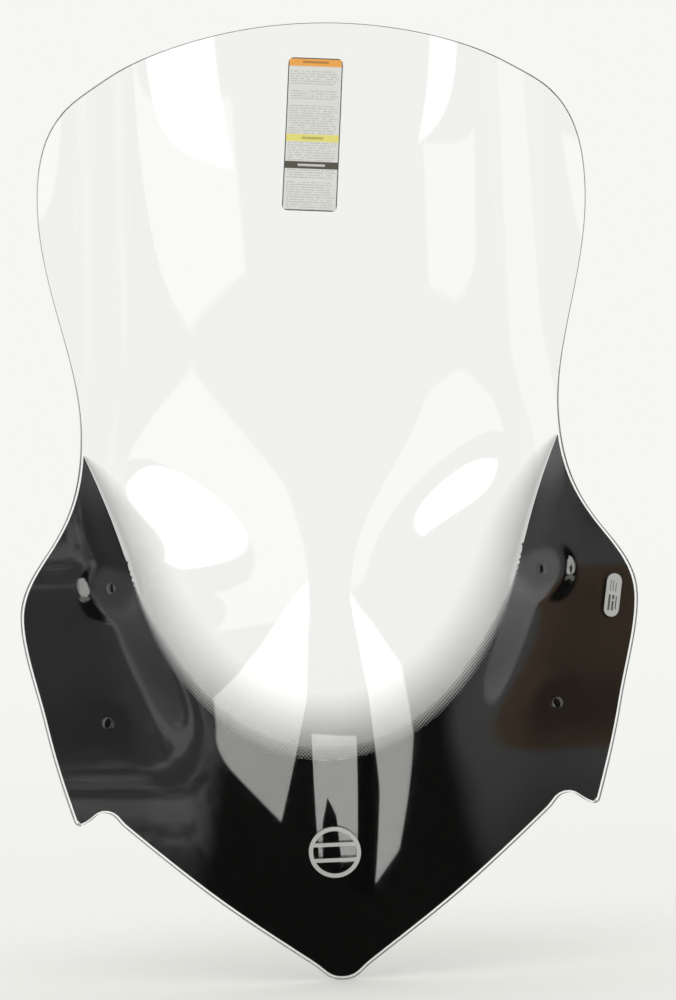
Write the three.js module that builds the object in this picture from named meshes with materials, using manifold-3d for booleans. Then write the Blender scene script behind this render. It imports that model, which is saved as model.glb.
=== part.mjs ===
// A touring windshield screen for a motorcycle, as a free-standing three.js example.
// One formed sheet of clear polycarbonate, a black print behind its lower half, and three films on its front.
// Frame: millimetres, +Z up the sheet, +Y to the rider, X across, origin under the middle of the sheet's box.
import * as THREE from 'three';
import { mergeVertices } from 'three/addons/utils/BufferGeometryUtils.js';
import Module from 'manifold-3d';

// The sheet.
const SHEET_THICKNESS = 3;
const EDGE_ROUND = 0.9; // the cut edge is eased by this much on both faces
const HEIGHT = 611; // lowest tip to the middle of the top edge

// Half widths and heights of the outline's landmarks, from the tip.
const TIP_ROUND_HALF = 17;
const TIP_ROUND_RISE = 9.5;
const V_EDGE_HEADING = 37.5; // degrees, the slope of the two lower edges
const V_EDGE_HOLLOW = 2; // how far the middle of each lower edge hangs below the straight line
const NOTCH_HALF = 147.5;
const NOTCH_HEIGHT = 108;
const NOTCH_LEAD = [-12, -8.5]; // where the lower edge starts to turn into the notch, from the notch
const WING_TIP_HALF = 165;
const WING_TIP_HEIGHT = 99.4;
// The rounded end of the wing, as steps from its tip.
const WING_TIP_ROUND = { near: [-5, 2.2], under: [-2, 0.4], middle: [0.7, 0], beyond: [3.6, 3.4] };
const WING_HALF = 186; // middle of the wing's side edge
const WING_HEIGHT = 163;
const SHOULDER_HALF = 201.5; // widest point of the whole sheet
const SHOULDER_HEIGHT = 232;
const SHOULDER_TO_WAIST = [0.466, 0.373]; // a landmark between the two, as shares across and up
const WAIST_HALF = 154.3;
const WAIST_HEIGHT = 350;
const FLARE_HALF = 182; // widest point of the upper half
const FLARE_BELOW_TOP = 106;
const FLARE_TO_TOP_ARC = [0.394, 0.777]; // the corner between the two, as shares across and up
const TOP_ARC_HALF = 135; // where the top edge's long arc meets its corner
const TOP_ARC_DROP = 29;

// Depth of the middle line behind the front plane, at evenly spaced control heights from tip to top.
const MIDLINE_DEPTHS = [34, -27, -27, 82, 104, 118];

// How the sheet falls back to each side: round the nose, in the wings, and at the brow.
// crown: radius of the front's curve, mm; lean: slope that it settles to;
// crease: extra slope of the fold; foldHalf: half width of the fold; foldAt: its place from the middle.
const NOSE = { crown: 108, lean: 0.6, crease: 0.1, foldHalf: 20, foldAt: 98 };
const WING = { crown: 108, lean: 0.62, crease: 0.7, foldHalf: 12, foldAt: 131 };
const BROW = { crown: 602, lean: 0.64, crease: 0.85, foldHalf: 20, foldAt: WAIST_HALF - 19 };
const FOLD_SPREAD = 0.35; // in the wings the fold moves out by this much for each mm of height
const NOSE_TO_WING = [110, 225]; // heights between which one section turns into the next
const WING_TO_BROW = [230, 420];

// The four screw holes, in flat seats pressed into the sheet.
const HOLE_RADIUS = 3.5;
const UPPER_HOLE = { name: 'upper', x: 139, z: 250 };
const LOWER_HOLE = { name: 'lower', x: 144, z: 165 };
const SEAT_RADIUS = 11;
const SEAT_BLEND = 13; // width of the ring that leads from the seat to the curved sheet

// The black print behind the sheet, and the films stuck on its front.
const FILM_GAP = 0.3;
const PRINT_THICKNESS = 0.3;
const PRINT_MARGIN = EDGE_ROUND; // the clear band that the print leaves along the cut edge
const FILM_THICKNESS = 0.25;
const PRINT_HOLE_CLEARANCE = 0.4;
const WINDOW_BOTTOM = 140; // lowest point of the clear window's edge
const WINDOW_HALF = 125; // half width of the window where its side edges straighten
const WINDOW_SIDE_HEIGHT = 255;
const WINDOW_END_BELOW_WAIST = 11;
const CARE_LABEL = { x: 4, z: HEIGHT - 74, width: 35.4, height: 101, corner: 3.5, lean: -4.9 };
const APPROVAL_LABEL = {
  x: SHOULDER_HALF - 17.2, z: SHOULDER_HEIGHT - 1.7, width: 10, height: 28, corner: 4.99, lean: -10.5 };
const EMBLEM = { x: -1, z: 83, radius: 16, rim: 2.6, slots: 3, bar: 2.4 };

// How finely the sheet is cut into flat facets.
const TIP_TO_WING_CUTS = [1, 4, 4, 2, 2, 1, 2];
const WING_TO_CORNER_CUTS = [1, 5, 6, 4, 6, 9, 4];
const CORNER_TO_TOP_CUTS = [4, 12];
const HOLE_SIDES = 24;
const WINDOW_CUTS = 22;

const wasm = await Module();
wasm.setup();

// ---------------------------------------------------------------- the formed surface

const rad = THREE.MathUtils.degToRad;

// 0 below the first height, 1 above the second, with no kink in slope or bend.
function ease([from, to], height) {
  return THREE.MathUtils.smootherstep(height, from, to);
}

function midlineDepth(z) {
  const t = z / HEIGHT;
  let row = MIDLINE_DEPTHS;
  while (row.length > 1) {
    row = row.slice(1).map((next, k) => (1 - t) * row[k] + t * next);
  }
  return row[0];
}

// One quantity of the section at height z, blended from the three sections.
function sectionValue(key, z) {
  const drift = key === 'foldAt' ? FOLD_SPREAD * (z - UPPER_HOLE.z) : 0;
  const low = THREE.MathUtils.lerp(NOSE[key], WING[key] + drift, ease(NOSE_TO_WING, z));
  return THREE.MathUtils.lerp(low, BROW[key], ease(WING_TO_BROW, z));
}

// Depth of the front face, before the screw seats are pressed flat.
function formedDepth(x, z) {
  const crown = sectionValue('crown', z);
  const lean = sectionValue('lean', z);
  const crease = sectionValue('crease', z);
  const foldHalf = sectionValue('foldHalf', z);
  const foldAt = sectionValue('foldAt', z);
  const out = Math.abs(x);
  const dome = crown * lean * lean * Math.log(Math.cosh(out / (crown * lean)));
  const fold = crease * foldHalf * (Math.tanh((out - foldAt) / foldHalf) + Math.tanh(foldAt / foldHalf));
  return midlineDepth(z) + dome + fold;
}

// Slopes of a depth function across and up the sheet.
function slopes(depth, x, z) {
  const h = 0.01;
  const across = (depth(x + h, z) - depth(x - h, z)) / (2 * h);
  const up = (depth(x, z + h) - depth(x, z - h)) / (2 * h);
  return { across, up };
}

const seats = [UPPER_HOLE, LOWER_HOLE].flatMap((hole) => [-1, 1].map((side) => {
  const x = side * hole.x;
  const { across, up } = slopes(formedDepth, x, hole.z);
  return { x, z: hole.z, y: formedDepth(x, hole.z), across, up };
}));

function depth(x, z) {
  let y = formedDepth(x, z);
  for (const seat of seats) {
    const reach = Math.hypot(x - seat.x, z - seat.z);
    const flat = seat.y + seat.across * (x - seat.x) + seat.up * (z - seat.z);
    y = THREE.MathUtils.lerp(flat, y, ease([SEAT_RADIUS, SEAT_RADIUS + SEAT_BLEND], reach));
  }
  return y;
}

// The direction from the front face into the sheet.
function inward(x, z) {
  const { across, up } = slopes(depth, x, z);
  return new THREE.Vector3(-across, 1, -up).normalize();
}

// The point a given distance behind the front face.
function behind({ x, y: z }, distance) {
  return new THREE.Vector3(x, depth(x, z), z).addScaledVector(inward(x, z), distance);
}

// ---------------------------------------------------------------- the outline

// A landmark of an outline: its place, the way the edge runs there, and how far it keeps to that way,
// as shares of the straight distance to the landmark before and to the one after.
function knot(x, z, heading, before = 0.34, after = 0.34) {
  const way = new THREE.Vector2(Math.cos(rad(heading)), Math.sin(rad(heading)));
  return { at: new THREE.Vector2(x, z), way, before, after };
}

// Points along the curves that join the knots, cuts[k] of them on the k-th curve.
function edgeThrough(knots, cuts) {
  const points = [knots[0].at.clone()];
  cuts.forEach((count, k) => {
    const [from, to] = [knots[k], knots[k + 1]];
    const span = from.at.distanceTo(to.at);
    const leave = from.at.clone().addScaledVector(from.way, span * from.after);
    const arrive = to.at.clone().addScaledVector(to.way, -span * to.before);
    const curve = new THREE.CubicBezierCurve(from.at, leave, arrive, to.at);
    points.push(...curve.getSpacedPoints(count).slice(1));
  });
  return points;
}

// A place at the given shares of the way from one place to another.
function between(from, to, [across, up]) {
  return [THREE.MathUtils.lerp(from[0], to[0], across), THREE.MathUtils.lerp(from[1], to[1], up)];
}

const stepFrom = ([x, z], [across, up]) => [x + across, z + up];
const mirrored = (point) => new THREE.Vector2(-point.x, point.y);

const TIP_END = [TIP_ROUND_HALF, TIP_ROUND_RISE];
const NOTCH = [NOTCH_HALF, NOTCH_HEIGHT];
const WING_TIP = [WING_TIP_HALF, WING_TIP_HEIGHT];
const SHOULDER = [SHOULDER_HALF, SHOULDER_HEIGHT];
const WAIST = [WAIST_HALF, WAIST_HEIGHT];
const FLARE = [FLARE_HALF, HEIGHT - FLARE_BELOW_TOP];
const TOP_ARC_END = [TOP_ARC_HALF, HEIGHT - TOP_ARC_DROP];

// From the tip, along the V edge and round the notch, to the middle of the wing's rounded tip.
const V_MIDDLE = stepFrom(between(TIP_END, NOTCH, [0.5, 0.5]), [0, -V_EDGE_HOLLOW]);
const WING_TIP_MIDDLE = knot(...stepFrom(WING_TIP, WING_TIP_ROUND.middle), 14, 0.5, 0.5);
const lowerEdge = edgeThrough([
  knot(0, 0, 0, 0, 0.5),
  knot(...TIP_END, V_EDGE_HEADING - 1),
  knot(...V_MIDDLE, V_EDGE_HEADING),
  knot(...stepFrom(NOTCH, NOTCH_LEAD), V_EDGE_HEADING + 2.5),
  knot(...NOTCH, 3, 0.5, 0.4),
  knot(...stepFrom(WING_TIP, WING_TIP_ROUND.near), -31),
  knot(...stepFrom(WING_TIP, WING_TIP_ROUND.under), -28),
  WING_TIP_MIDDLE,
], TIP_TO_WING_CUTS);

const TOP_CORNER = knot(...between(FLARE, TOP_ARC_END, FLARE_TO_TOP_ARC), 134);
const sideEdge = edgeThrough([
  WING_TIP_MIDDLE,
  knot(...stepFrom(WING_TIP, WING_TIP_ROUND.beyond), 73),
  knot(WING_HALF, WING_HEIGHT, 76),
  knot(...SHOULDER, 90, 0.3, 0.36),
  knot(...between(SHOULDER, WAIST, SHOULDER_TO_WAIST), 128),
  knot(...WAIST, 90, 0.42, 0.3),
  knot(...FLARE, 90, 0.36, 0.36),
  TOP_CORNER,
], WING_TO_CORNER_CUTS);

const topEdge = edgeThrough([
  TOP_CORNER,
  knot(...TOP_ARC_END, 156),
  knot(0, HEIGHT, 180),
], CORNER_TO_TOP_CUTS);

// The whole outline as four edges of one patch.
const bottom = [...lowerEdge.slice(1).reverse().map(mirrored), ...lowerEdge];
const top = [...topEdge.map(mirrored), ...topEdge.slice(0, -1).reverse()];
const right = sideEdge;
const left = sideEdge.map(mirrored);
const COLUMNS = bottom.length - 1;
const ROWS = right.length - 1;

// ---------------------------------------------------------------- the net of facets

// Inside points follow the four edges, each edge's pull fading across the patch.
function insidePoint(column, row) {
  const u = column / COLUMNS;
  const v = row / ROWS;
  const blend = (axis) => {
    const edges = (1 - v) * bottom[column][axis] + v * top[column][axis]
      + (1 - u) * left[row][axis] + u * right[row][axis];
    const corners = (1 - v) * ((1 - u) * bottom[0][axis] + u * bottom[COLUMNS][axis])
      + v * ((1 - u) * top[0][axis] + u * top[COLUMNS][axis]);
    return edges - corners;
  };
  return new THREE.Vector2(blend('x'), blend('y'));
}

const net = [];
for (let row = 0; row <= ROWS; row++) {
  net.push([]);
  for (let column = 0; column <= COLUMNS; column++) {
    net[row].push(insidePoint(column, row));
  }
}

// The net's point nearest each screw hole moves to its middle, and the eight around it to a circle.
for (const seat of seats) {
  const middle = new THREE.Vector2(seat.x, seat.z);
  let best = { reach: Infinity };
  for (let row = 1; row < ROWS; row++) {
    for (let column = 1; column < COLUMNS; column++) {
      const reach = net[row][column].distanceTo(middle);
      if (reach < best.reach) best = { reach, row, column };
    }
  }
  const old = net[best.row][best.column].clone();
  for (const up of [-1, 0, 1]) {
    for (const across of [-1, 0, 1]) {
      const point = net[best.row + up][best.column + across];
      const away = point.clone().sub(old);
      point.copy(middle);
      if (up || across) point.addScaledVector(away.normalize(), SEAT_RADIUS);
    }
  }
}

// The outline's places in the net, once round, anticlockwise seen from the front.
const rimPlaces = [];
for (let column = 0; column < COLUMNS; column++) rimPlaces.push([0, column]);
for (let row = 0; row < ROWS; row++) rimPlaces.push([row, COLUMNS]);
for (let column = COLUMNS; column > 0; column--) rimPlaces.push([ROWS, column]);
for (let row = ROWS; row > 0; row--) rimPlaces.push([row, 0]);
const rim = rimPlaces.map(([row, column]) => net[row][column].clone());

// The outline moved into the sheet by a margin.
function rimInset(margin) {
  return rim.map((point, k) => {
    const along = rim[(k + 1) % rim.length].clone().sub(rim.at(k - 1)).normalize();
    return point.clone().add(new THREE.Vector2(-along.y, along.x).multiplyScalar(margin));
  });
}

// A closed layer of the sheet between two distances behind its front face.
// margin: how far its edge stays inside the outline; round: how much its edge is eased on both faces.
function layer(near, far, margin, round) {
  const corners = [];
  const triangles = [];
  const quad = (a, b, c, d, leaning) => {
    triangles.push(...(leaning ? [a, b, d, b, c, d] : [a, b, c, a, c, d]));
  };
  const put = (point, distance) => corners.push(behind(point, distance)) - 1;
  const face = (distance) => {
    const edge = rimInset(margin + round);
    const places = net.map((line) => line.map(() => -1));
    rimPlaces.forEach(([row, column], k) => {
      places[row][column] = put(edge[k], distance);
    });
    for (let row = 1; row < ROWS; row++) {
      for (let column = 1; column < COLUMNS; column++) {
        places[row][column] = put(net[row][column], distance);
      }
    }
    return places;
  };
  const front = face(near);
  const back = face(far);
  for (let row = 0; row < ROWS; row++) {
    for (let column = 0; column < COLUMNS; column++) {
      const leaning = column >= COLUMNS / 2;
      const cell = (places) => [
        places[row][column], places[row][column + 1], places[row + 1][column + 1], places[row + 1][column]];
      quad(...cell(front), leaning);
      const [a, b, c, d] = cell(back);
      quad(b, a, d, c, !leaning);
    }
  }
  const aroundFront = rimPlaces.map(([row, column]) => front[row][column]);
  const aroundBack = rimPlaces.map(([row, column]) => back[row][column]);
  const loops = [aroundFront];
  if (round > 0) {
    for (const distance of [near + round, far - round]) {
      loops.push(rimInset(margin).map((point) => put(point, distance)));
    }
  }
  loops.push(aroundBack);
  for (let k = 1; k < loops.length; k++) {
    for (let i = 0; i < rim.length; i++) {
      const next = (i + 1) % rim.length;
      quad(loops[k - 1][i], loops[k][i], loops[k][next], loops[k - 1][next], i >= rim.length / 2);
    }
  }
  const geometry = new THREE.BufferGeometry().setFromPoints(corners);
  geometry.setIndex(triangles);
  return solidOf(geometry);
}

// ---------------------------------------------------------------- solids, joined and cut by manifold-3d

function solidOf(geometry) {
  const bare = geometry.clone();
  bare.deleteAttribute('normal');
  bare.deleteAttribute('uv');
  const merged = mergeVertices(bare, 1e-4);
  return new wasm.Manifold(new wasm.Mesh({
    numProp: 3,
    vertProperties: new Float32Array(merged.attributes.position.array),
    triVerts: new Uint32Array(merged.index.array),
  }));
}

function geometryOf(solid) {
  const { vertProperties, triVerts } = solid.getMesh();
  const geometry = new THREE.BufferGeometry();
  geometry.setAttribute('position', new THREE.BufferAttribute(vertProperties, 3));
  geometry.setIndex(new THREE.BufferAttribute(triVerts, 1));
  const flat = geometry.toNonIndexed();
  flat.computeVertexNormals();
  return flat;
}

// A straight punch through the whole sheet along Y, from a shape drawn in X and Z.
const PUNCH_LENGTH = 600;
function punch(shape, { x = 0, z = 0, lean = 0 } = {}, curveSegments = 12) {
  const geometry = new THREE.ExtrudeGeometry(
    shape, { depth: PUNCH_LENGTH, bevelEnabled: false, curveSegments });
  geometry.rotateZ(rad(lean));
  geometry.translate(x, z, -PUNCH_LENGTH / 2);
  geometry.rotateX(Math.PI / 2);
  return solidOf(geometry);
}

// A drill along the seat's own normal.
const DRILL_LENGTH = 40;
function drill(seat, radius) {
  const geometry = new THREE.CylinderGeometry(radius, radius, DRILL_LENGTH, HOLE_SIDES);
  const axis = new THREE.Vector3(-seat.across, 1, -seat.up).normalize();
  geometry.applyQuaternion(new THREE.Quaternion().setFromUnitVectors(new THREE.Vector3(0, 1, 0), axis));
  geometry.translate(seat.x, seat.y, seat.z);
  return solidOf(geometry);
}

function drilled(solid, radius) {
  return seats.reduce((rest, seat) => rest.subtract(drill(seat, radius)), solid);
}

// A rectangle with round corners, about its own middle.
function roundedRectangle({ width, height, corner }) {
  const [w, h] = [width / 2, height / 2];
  const shape = new THREE.Shape();
  shape.moveTo(w, h - corner);
  shape.absarc(w - corner, h - corner, corner, 0, Math.PI / 2);
  shape.absarc(-w + corner, h - corner, corner, Math.PI / 2, Math.PI);
  shape.absarc(-w + corner, -h + corner, corner, Math.PI, 1.5 * Math.PI);
  shape.absarc(w - corner, -h + corner, corner, 1.5 * Math.PI, 2 * Math.PI);
  return shape;
}

// ---------------------------------------------------------------- the pieces

function material(color, roughness, metalness, opacity = 1) {
  return new THREE.MeshStandardMaterial({ color, roughness, metalness, opacity, transparent: opacity < 1 });
}

function screenShell() {
  return drilled(layer(0, SHEET_THICKNESS, 0, EDGE_ROUND), HOLE_RADIUS);
}

// The black field behind the lower half, open where the clear window comes down to the nose.
function maskPrint() {
  const side = [
    knot(0, WINDOW_BOTTOM, 0),
    knot(WINDOW_HALF, WINDOW_SIDE_HEIGHT, 76, 0.42, 0.3),
    knot(WAIST_HALF + 1, WAIST_HEIGHT - WINDOW_END_BELOW_WAIST, 64),
  ];
  const windowEdge = edgeThrough(side, [WINDOW_CUTS, WINDOW_CUTS / 2]);
  const outside = SHOULDER_HALF + 30;
  const end = windowEdge.at(-1);
  const field = new THREE.Shape([
    ...windowEdge.slice(1).reverse().map(mirrored),
    ...windowEdge,
    new THREE.Vector2(outside, end.y),
    new THREE.Vector2(outside, -outside),
    new THREE.Vector2(-outside, -outside),
    new THREE.Vector2(-outside, end.y),
  ]);
  const near = SHEET_THICKNESS + FILM_GAP;
  const film = layer(near, near + PRINT_THICKNESS, PRINT_MARGIN, 0);
  return drilled(film.intersect(punch(field)), HOLE_RADIUS + PRINT_HOLE_CLEARANCE);
}

const frontFilm = layer(-FILM_GAP - FILM_THICKNESS, -FILM_GAP, EDGE_ROUND, 0);

function frontLabel(label) {
  return frontFilm.intersect(punch(roundedRectangle(label), label, 6));
}

// A plain roundel: a ring crossed by level bars.
function emblemDecal() {
  const { radius, rim: ring, slots, bar } = EMBLEM;
  const shape = new THREE.Shape();
  shape.absarc(0, 0, radius, 0, 2 * Math.PI);
  const inner = radius - ring;
  const slotHeight = (2 * inner - (slots - 1) * bar) / slots;
  for (let k = 0; k < slots; k++) {
    const low = -inner + k * (slotHeight + bar);
    const [from, to] = [low, low + slotHeight].map((z) => Math.asin(THREE.MathUtils.clamp(z / inner, -1, 1)));
    const slot = new THREE.Path();
    slot.absarc(0, 0, inner, from, to);
    slot.absarc(0, 0, inner, Math.PI - to, Math.PI - from);
    slot.closePath();
    shape.holes.push(slot);
  }
  return frontFilm.intersect(punch(shape, EMBLEM, 16));
}

const pieces = [
  ['screen_shell', screenShell(), material(0xeef1ee, 0.06, 0, 0.3)],
  ['mask_print', maskPrint(), material(0x10100e, 0.2, 0)],
  ['care_label', frontLabel(CARE_LABEL), material(0xf2f2ee, 0.45, 0)],
  ['approval_label', frontLabel(APPROVAL_LABEL), material(0xc8cbc8, 0.3, 0.6)],
  ['emblem_decal', emblemDecal(), material(0xc9c9c4, 0.35, 0.6)],
];

const windshield = new THREE.Group();
for (const [name, solid, finish] of pieces) {
  const mesh = new THREE.Mesh(geometryOf(solid), finish);
  mesh.name = name;
  windshield.add(mesh);
}

// The origin goes under the middle of the sheet's own box.
const sheetBox = new THREE.Box3().setFromObject(windshield.getObjectByName('screen_shell'));
windshield.position.set(0, -(sheetBox.min.y + sheetBox.max.y) / 2, -sheetBox.min.z);

export default windshield;
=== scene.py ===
"""The looks of a motorcycle's touring windshield screen: one formed clear sheet, the black print behind
its lower half with a dotted fringe and a soft fade of painted shadow, and three thin films on its front.
Lengths are metres. +Z runs up the sheet, +Y goes to the rider, X runs across."""

import math

import bmesh
import bpy
import numpy as np
from mathutils import Matrix, Vector
from mathutils.geometry import interpolate_bezier
from mathutils.kdtree import KDTree


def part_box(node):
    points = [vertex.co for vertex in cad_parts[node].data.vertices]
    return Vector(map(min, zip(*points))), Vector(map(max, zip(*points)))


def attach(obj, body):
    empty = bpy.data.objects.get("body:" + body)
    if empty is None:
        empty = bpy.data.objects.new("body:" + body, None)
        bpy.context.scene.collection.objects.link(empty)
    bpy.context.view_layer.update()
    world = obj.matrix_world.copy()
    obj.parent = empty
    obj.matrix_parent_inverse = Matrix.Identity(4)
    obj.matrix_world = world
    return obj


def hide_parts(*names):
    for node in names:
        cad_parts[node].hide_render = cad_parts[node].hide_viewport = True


bl_info = {
    "name": "Motorcycle Windshield Screen",
    "version": (1, 0, 0),
    "blender": (4, 5, 0),
    "location": "View3D > Sidebar > Windshield",
    "description": "Builds a clear formed windshield screen with its print and films",
    "category": "Add Mesh",
}

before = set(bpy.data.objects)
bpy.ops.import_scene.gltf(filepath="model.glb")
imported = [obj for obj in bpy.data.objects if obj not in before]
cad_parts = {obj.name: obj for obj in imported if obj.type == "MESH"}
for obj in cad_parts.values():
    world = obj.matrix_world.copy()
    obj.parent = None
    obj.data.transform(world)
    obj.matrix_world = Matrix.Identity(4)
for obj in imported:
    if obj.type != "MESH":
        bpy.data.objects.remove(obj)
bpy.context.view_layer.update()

# ---------------------------------------------------------------- the sheet's driving sizes

HEIGHT = 0.611
TIP_END = (0.017, 0.0095)
V_EDGE_HEADING = 37.5
V_EDGE_HOLLOW = 0.002
NOTCH = (0.1475, 0.108)
NOTCH_LEAD = (-0.012, -0.0085)
WING_TIP = (0.165, 0.0994)
WING_TIP_ROUND = {
    "near": (-0.005, 0.0022),
    "under": (-0.002, 0.0004),
    "middle": (0.0007, 0),
    "beyond": (0.0036, 0.0034),
}
WING = (0.186, 0.163)
SHOULDER = (0.2015, 0.232)
SHOULDER_TO_WAIST = (0.466, 0.373)
WAIST = (0.1543, 0.350)
FLARE = (0.182, HEIGHT - 0.106)
FLARE_TO_TOP_ARC = (0.394, 0.777)
TOP_ARC_END = (0.135, HEIGHT - 0.029)

# Depth of the middle line at evenly spaced control heights, and the sections across the sheet.
MIDLINE_DEPTHS = (0.034, -0.027, -0.027, 0.082, 0.104, 0.118)
NOSE_SECTION = {"crown": 0.108, "lean": 0.6, "crease": 0.1, "fold_half": 0.020, "fold_at": 0.098}
WING_SECTION = {"crown": 0.108, "lean": 0.62, "crease": 0.7, "fold_half": 0.012, "fold_at": 0.131}
BROW_SECTION = {"crown": 0.602, "lean": 0.64, "crease": 0.85, "fold_half": 0.020, "fold_at": 0.1353}
FOLD_SPREAD = 0.35
NOSE_TO_WING = (0.110, 0.225)
WING_TO_BROW = (0.230, 0.420)

HOLE_RADIUS = 0.0035
HOLES = ((0.139, 0.250), (0.144, 0.165))
SEAT_RADIUS = 0.011
SEAT_BLEND = 0.013
UPPER_HOLE_HEIGHT = HOLES[0][1]
# The ring of even cuts round each hole, and how far round a hole its rough edge is looked for.
HOLE_RING = 1.5
HOLE_SEARCH = SEAT_RADIUS * 1.2

WINDOW_BOTTOM = 0.140
WINDOW_SIDE = (0.125, 0.255)
WINDOW_END_BELOW_WAIST = 0.011
FILM_GAP = 0.0003

# Places along the rim and the places along the window's edge that they are joined to.
PRINT_LINKS = (
    (NOTCH, (0.075, 0.172)),
    (WING_TIP, (0.085, 0.184)),
    (WING, (0.112, 0.225)),
    (SHOULDER, (0.127, 0.265)),
    ((0.170, 0.292), (0.138, 0.300)),
)
# Heights between which the dotted fringe narrows away, and where its rows end.
DOTS_TAPER = (0.190, 0.275)
DOTS_TOP = 0.270
# In pitches: the radii of the dots at the field and at the fringe's end, and their reach into the field.
DOT_RADII = (0.60, 0.20)
DOT_OVERLAP = 0.5
DOT_SIDES = 8
# How the fade of painted shadow narrows towards the two ends of the window's edge, and its thickness.
FADE_NARROWING = ((0.55, 2), (0.42, 8))
FADE_THICKNESS = 0.0001

CARE_LABEL = {
    "x": 0.004, "z": HEIGHT - 0.074, "width": 0.0354, "height": 0.101,
    "corner": 0.0035, "lean": -4.9}
APPROVAL_LABEL = {
    "x": SHOULDER[0] - 0.0172, "z": SHOULDER[1] - 0.0017, "width": 0.010, "height": 0.028,
    "corner": 0.00499, "lean": -10.5}
EMBLEM = {"x": -0.001, "z": 0.083, "radius": 0.016, "rim": 0.0026, "slots": 3, "bar": 0.0024, "lean": 0}

# How finely the outline's curves are cut.
TIP_TO_WING_CUTS = (6, 28, 28, 8, 10, 2, 2)
WING_TO_CORNER_CUTS = (2, 22, 30, 18, 26, 44, 18)
CORNER_TO_TOP_CUTS = (20, 64)
WINDOW_CUTS = (200, 80)
CURVE_STEPS = 96
PRINT_COLUMNS = 130
PRINT_ROWS = 32
FADE_COLUMNS = 60
FADE_ROWS = 12
FILM_COLUMNS_WIDTH = 0.004
FILM_ROWS_HEIGHT = 0.008
EMBLEM_CUTS = 7
EMBLEM_CUT_STEP = 0.002
ROUND_SIDES = 96
SHEET_RELAX_ROUNDS = 12
EDGE_SEGMENTS = 3
SHARP_ANGLE = math.radians(60)
CREASE_ANGLE = math.radians(50)
# Stands a flat circle up in the plan.
UPRIGHT = Matrix.Rotation(math.pi / 2, 4, "X")


# ---------------------------------------------------------------- sizes and colours to change


class WindshieldSizes(bpy.types.PropertyGroup):
    """Sizes of the sheet, its print and its films"""

    thickness: bpy.props.FloatProperty(
        name="Sheet Thickness", description="Thickness of the clear sheet", default=0.003, unit="LENGTH")
    edge_round: bpy.props.FloatProperty(
        name="Edge Round", description="How much the cut edge is eased", default=0.0009, unit="LENGTH")
    print_margin: bpy.props.FloatProperty(
        name="Print Margin", description="Clear band left along the cut edge", default=0.0011, unit="LENGTH")
    print_thickness: bpy.props.FloatProperty(
        name="Print Thickness", description="Thickness of the ink layer", default=0.0003, unit="LENGTH")
    dot_pitch: bpy.props.FloatProperty(
        name="Dot Pitch", description="Distance of neighbouring dots", default=0.0016, unit="LENGTH")
    fringe: bpy.props.FloatProperty(
        name="Fringe Width", description="Width of the dotted fringe", default=0.008, unit="LENGTH")
    # the fade is painted shadow: a dark film inside the fringe
    fade: bpy.props.FloatProperty(
        name="Fade Width", description="Width of the soft tint inside the fringe",
        default=0.042, unit="LENGTH")
    film: bpy.props.FloatProperty(
        name="Film Thickness", description="Thickness of the labels", default=0.00025, unit="LENGTH")


class WindshieldColours(bpy.types.PropertyGroup):
    """Colours of the sheet, its print and its films"""

    clear: bpy.props.FloatVectorProperty(
        name="Clear Sheet", description="Tint of the polycarbonate",
        default=(0.985, 0.99, 0.98), subtype="COLOR")
    ink: bpy.props.FloatVectorProperty(
        name="Ink", description="Colour of the black print",
        default=(0.0035, 0.0035, 0.003), subtype="COLOR")
    paper: bpy.props.FloatVectorProperty(
        name="Label", description="Ground of the care label",
        default=(0.80, 0.80, 0.77), subtype="COLOR")
    header: bpy.props.FloatVectorProperty(
        name="Header Band", description="Top band of the care label",
        default=(0.95, 0.43, 0.09), subtype="COLOR")
    notice: bpy.props.FloatVectorProperty(
        name="Notice Band", description="Middle band of the care label",
        default=(0.86, 0.80, 0.22), subtype="COLOR")
    dark_band: bpy.props.FloatVectorProperty(
        name="Dark Band", description="Lower band of the care label",
        default=(0.11, 0.10, 0.08), subtype="COLOR")
    silver: bpy.props.FloatVectorProperty(
        name="Silver", description="Silver of the small label and the emblem",
        default=(0.55, 0.56, 0.54), subtype="COLOR")


def sizes():
    return bpy.context.scene.windshield_sizes


def colours():
    return bpy.context.scene.windshield_colours


# ---------------------------------------------------------------- the formed surface


def lerp(a, b, share):
    return a + (b - a) * share


def ease(span, value):
    t = np.clip((value - span[0]) / (span[1] - span[0]), 0, 1)
    return t * t * t * (t * (6 * t - 15) + 10)


def midline_depth(z):
    """Depth of the middle line, a smooth curve pulled by its control depths."""
    t = z / HEIGHT
    row = MIDLINE_DEPTHS
    while len(row) > 1:
        row = [lerp(low, high, t) for low, high in zip(row, row[1:])]
    return row[0]


def section_value(key, z):
    """One value of the cross section, blended from nose to wing to brow."""
    drift = FOLD_SPREAD * (z - UPPER_HOLE_HEIGHT) if key == "fold_at" else 0
    low = lerp(NOSE_SECTION[key], WING_SECTION[key] + drift, ease(NOSE_TO_WING, z))
    return lerp(low, BROW_SECTION[key], ease(WING_TO_BROW, z))


def formed_depth(x, z):
    """Depth of the front face before the screw seats are pressed flat."""
    crown, lean, crease, fold_half, fold_at = (
        section_value(key, z) for key in ("crown", "lean", "crease", "fold_half", "fold_at"))
    out = np.abs(x)
    dome = crown * lean * lean * np.log(np.cosh(out / (crown * lean)))
    fold = crease * fold_half * (np.tanh((out - fold_at) / fold_half) + np.tanh(fold_at / fold_half))
    return midline_depth(z) + dome + fold


def slopes(depth_at, x, z):
    """How fast a depth grows across the sheet and up it."""
    step = 1e-5
    across = (depth_at(x + step, z) - depth_at(x - step, z)) / (2 * step)
    up = (depth_at(x, z + step) - depth_at(x, z - step)) / (2 * step)
    return across, up


SEATS = []
for hole_x, hole_z in HOLES:
    for side in (-1, 1):
        SEATS.append((side * hole_x, hole_z, formed_depth(side * hole_x, hole_z),
                      *slopes(formed_depth, side * hole_x, hole_z)))


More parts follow.
